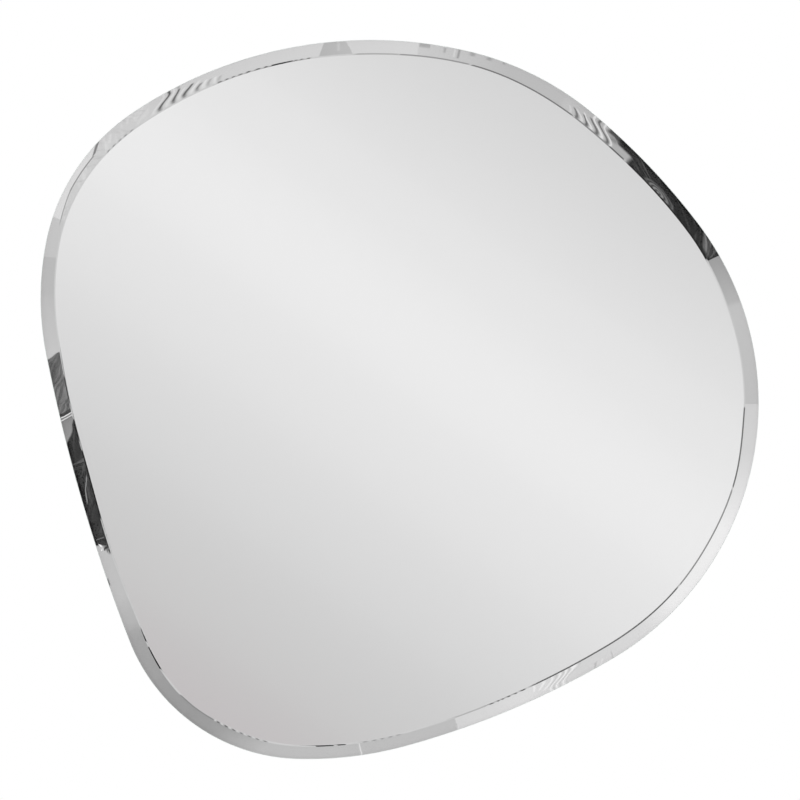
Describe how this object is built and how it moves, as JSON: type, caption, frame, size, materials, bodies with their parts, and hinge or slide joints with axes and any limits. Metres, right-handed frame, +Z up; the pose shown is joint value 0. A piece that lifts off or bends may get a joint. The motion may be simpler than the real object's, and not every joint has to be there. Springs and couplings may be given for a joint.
{
  "type": "irregular shaped mirror",
  "caption": "Frameless wall mirror of free pebble outline in bevelled glass, glued to an inset backing board with ring hangers and rubber wall pads.",
  "frame": {"origin": "middle of the bounding box", "axes": "+Z up as it hangs, the mirror faces -Y, its back faces +Y towards the wall, +X to the right seen from the front"},
  "size_m": [0.7503, 0.025, 0.7514],
  "materials": {
    "bevelled_glass": "clear float glass, polished faces and bevel, ground rim",
    "silvering": "bright silver reflecting layer",
    "backing_paint": "matt grey sealing paint",
    "safety_film": "satin vinyl film with a fine weave",
    "foam_tape": "white foam tape",
    "mirror_adhesive": "cured beige adhesive",
    "painted_board": "fibreboard painted matt black",
    "plated_strap": "zinc-plated sheet steel",
    "plated_wire": "zinc-plated drawn wire",
    "plated_screw": "zinc-plated, cross recess",
    "rubber_pad": "soft black rubber"
  },
  "bodies": {
    "mirror": {"glass_pane": "bevelled_glass", "silver_coat": "silvering", "backing_paint": "backing_paint", "safety_film": "safety_film", "backing_board": "painted_board", "tape_strip_1": "foam_tape", "tape_strip_2": "foam_tape", "tape_strip_3": "foam_tape", "tape_strip_4": "foam_tape", "adhesive_bead_1": "mirror_adhesive", "adhesive_bead_2": "mirror_adhesive", "adhesive_bead_3": "mirror_adhesive", "strap_top_left": "plated_strap", "screws_top_left": "plated_screw", "strap_top_right": "plated_strap", "screws_top_right": "plated_screw", "strap_side_upper": "plated_strap", "screws_side_upper": "plated_screw", "strap_side_lower": "plated_strap", "screws_side_lower": "plated_screw", "wall_pad_top_left": "rubber_pad", "wall_pad_top_right": "rubber_pad", "wall_pad_bottom_left": "rubber_pad", "wall_pad_bottom_right": "rubber_pad"},
    "top_left_ring": {"ring_top_left": "plated_wire"},
    "top_right_ring": {"ring_top_right": "plated_wire"},
    "side_upper_ring": {"ring_side_upper": "plated_wire"},
    "side_lower_ring": {"ring_side_lower": "plated_wire"}
  },
  "joints": [
    {"name": "top_left_ring_swing", "type": "hinge", "parent": "mirror", "child": "top_left_ring", "pos_m": [-0.15147, 0.00903, 0.20775], "axis": [-1, 0, 0], "range_deg": [-3, 175]},
    {"name": "top_right_ring_swing", "type": "hinge", "parent": "mirror", "child": "top_right_ring", "pos_m": [0.12853, 0.00903, 0.20775], "axis": [-1, 0, 0], "range_deg": [-3, 175]},
    {"name": "side_upper_ring_swing", "type": "hinge", "parent": "mirror", "child": "side_upper_ring", "pos_m": [0.20353, 0.00903, 0.14775], "axis": [0, 0, 1], "range_deg": [-3, 175]},
    {"name": "side_lower_ring_swing", "type": "hinge", "parent": "mirror", "child": "side_lower_ring", "pos_m": [0.20353, 0.00903, -0.13225], "axis": [0, 0, 1], "range_deg": [-3, 175]}
  ]
}
